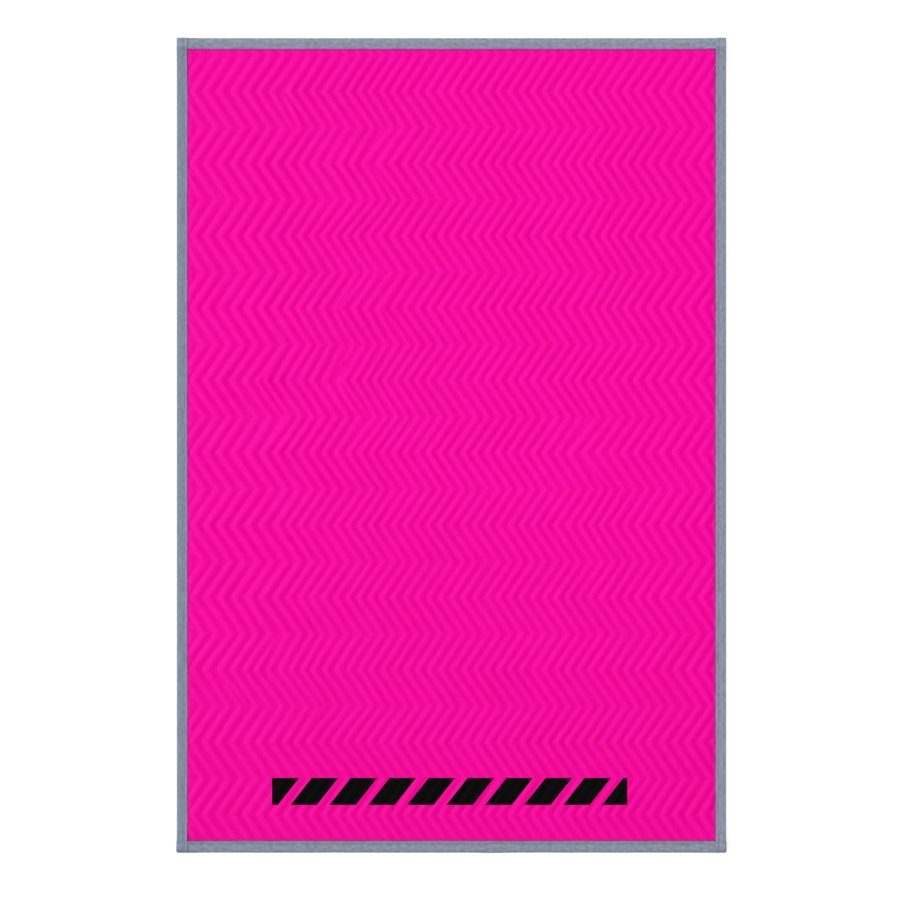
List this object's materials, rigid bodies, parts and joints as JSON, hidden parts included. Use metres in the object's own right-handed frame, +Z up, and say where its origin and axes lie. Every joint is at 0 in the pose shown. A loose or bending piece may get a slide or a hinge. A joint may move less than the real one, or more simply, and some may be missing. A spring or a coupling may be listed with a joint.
{
  "type": "floor protection mat",
  "caption": "Flat quilted floor protection mat with zigzag quilting and a folded tape binding along its edges.",
  "frame": {"origin": "on the floor under the middle of the mat", "axes": "+X to the right and +Y away from the reader, as the striped bar is seen at the near end; +Z up from the face"},
  "size_m": [0.6, 0.891, 0.0064],
  "materials": {
    "quilted_cloth": "matt bright pink quilted cloth",
    "binding_tape": "matt blue-grey woven tape"
  },
  "bodies": {
    "root": {"quilted_panel": "quilted_cloth", "binding_top": "binding_tape", "binding_bottom": "binding_tape", "binding_left": "binding_tape", "binding_right": "binding_tape"}
  },
  "joints": []
}
